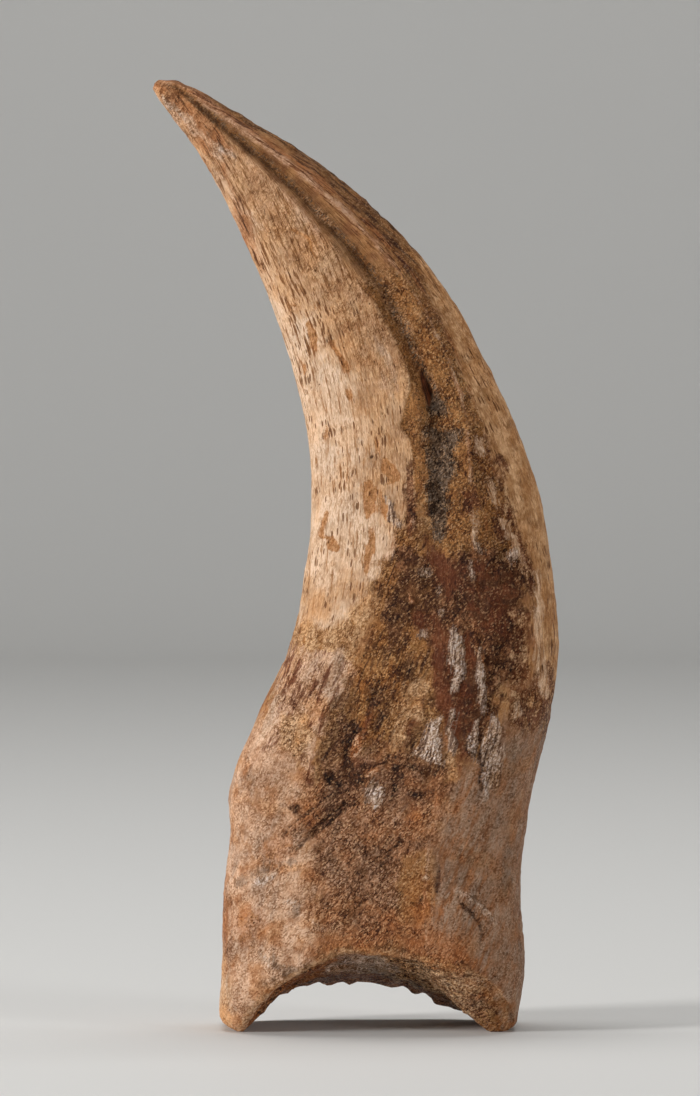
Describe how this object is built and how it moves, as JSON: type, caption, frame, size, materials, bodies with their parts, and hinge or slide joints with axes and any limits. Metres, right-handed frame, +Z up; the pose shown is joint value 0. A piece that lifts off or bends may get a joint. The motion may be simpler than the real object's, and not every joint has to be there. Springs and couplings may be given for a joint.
{
  "type": "fossil dinosaur claw",
  "caption": "Curved fossil claw bone, oval in section and tapering to a blunt point, with a groove along each side and a hollowed joint face on whose lips it stands.",
  "frame": {"origin": "on the ground, under the middle of the claw's bounding box, between the lips of the joint face", "axes": "+Z up from the joint face to the point, +X towards the convex back edge, +Y through the thickness from the front face to the rear face"},
  "size_m": [0.0856, 0.0356, 0.2],
  "materials": {
    "fossil_bone": "dry cream, tan and dark brown fossil bone with a faint wax sheen"
  },
  "bodies": {
    "root": {"claw": "fossil_bone"}
  },
  "joints": []
}
